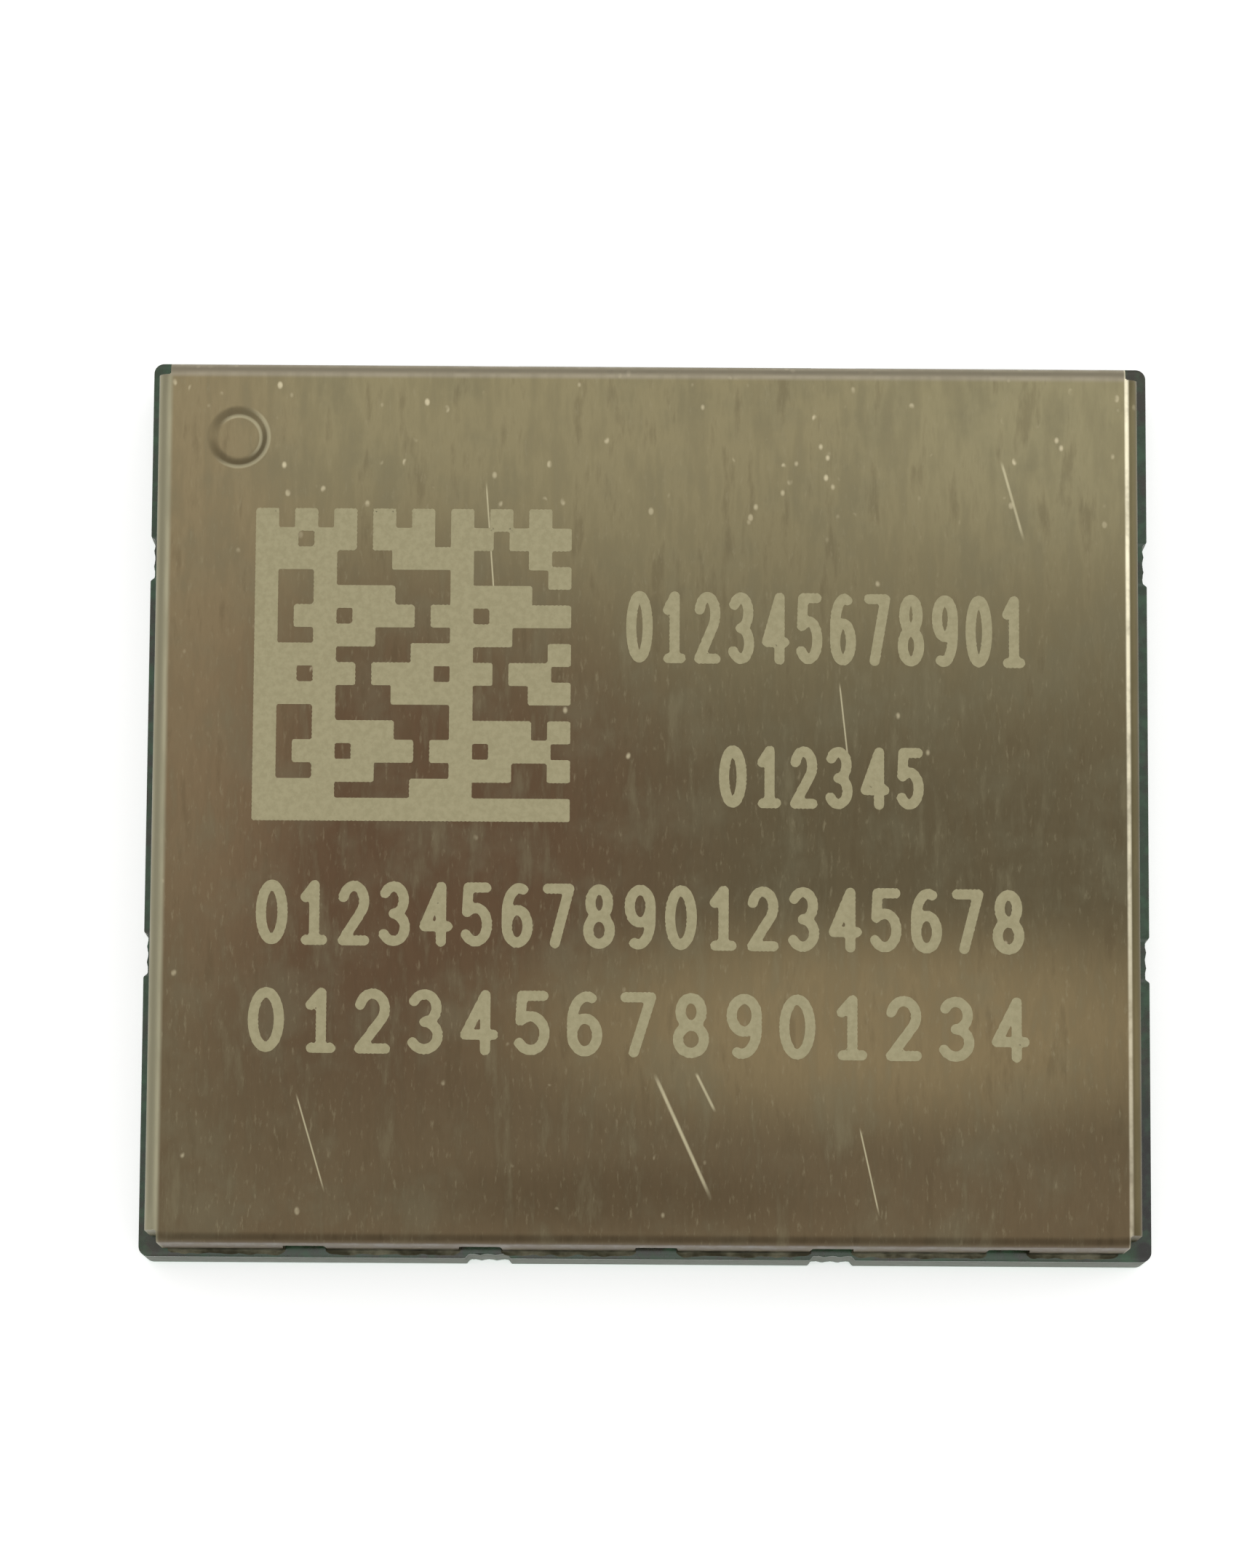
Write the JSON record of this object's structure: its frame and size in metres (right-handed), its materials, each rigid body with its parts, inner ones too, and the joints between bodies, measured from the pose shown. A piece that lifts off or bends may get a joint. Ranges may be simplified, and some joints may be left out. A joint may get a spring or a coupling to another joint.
{
  "type": "wireless radio module",
  "caption": "Surface-mount radio module: green circuit board with a grid of round lands below and a folded sheet-metal shield can with pale laser marks on top.",
  "frame": {"origin": "middle of the board's underside, in the plane of the lands", "axes": "+Z out of the shield can's top, +X along the board's long side, +Y towards the edge next to the pin-one dimple"},
  "size_m": [0.01, 0.009, 0.0017],
  "materials": {
    "board": "green solder mask over glass-fibre laminate",
    "land_gold": "flat immersion gold",
    "solder": "dull reflowed solder",
    "can": "worn nickel-silver sheet with fine upright brushing and scratches",
    "marking": "pale laser-etched marks",
    "package": "black moulding compound",
    "tin": "matt tin plate",
    "ceramic_body": "fired ceramic, off white",
    "lid": "plated metal lid",
    "ferrite": "grey ferrite",
    "capacitor": "tan fired ceramic"
  },
  "bodies": {
    "root": {"circuit_board": "board", "lands": "land_gold", "pin_one_land": "land_gold", "shield_solder": "solder", "shield_can": "can", "laser_marking": "marking", "radio_chip": "package", "radio_chip_balls": "solder", "front_end_chip": "package", "front_end_pads": "tin", "antenna_switch": "package", "antenna_switch_pads": "tin", "filter_block": "ceramic_body", "filter_terminals": "tin", "crystal_case": "ceramic_body", "crystal_lid": "lid", "crystal_pads": "tin", "inductor_cores": "ferrite", "inductor_end_caps": "tin", "large_capacitor_bodies": "capacitor", "large_capacitor_end_caps": "tin", "small_capacitor_bodies": "capacitor", "small_capacitor_end_caps": "tin", "resistor_bodies": "ceramic_body", "resistor_coats": "package", "resistor_end_caps": "tin"}
  },
  "joints": []
}
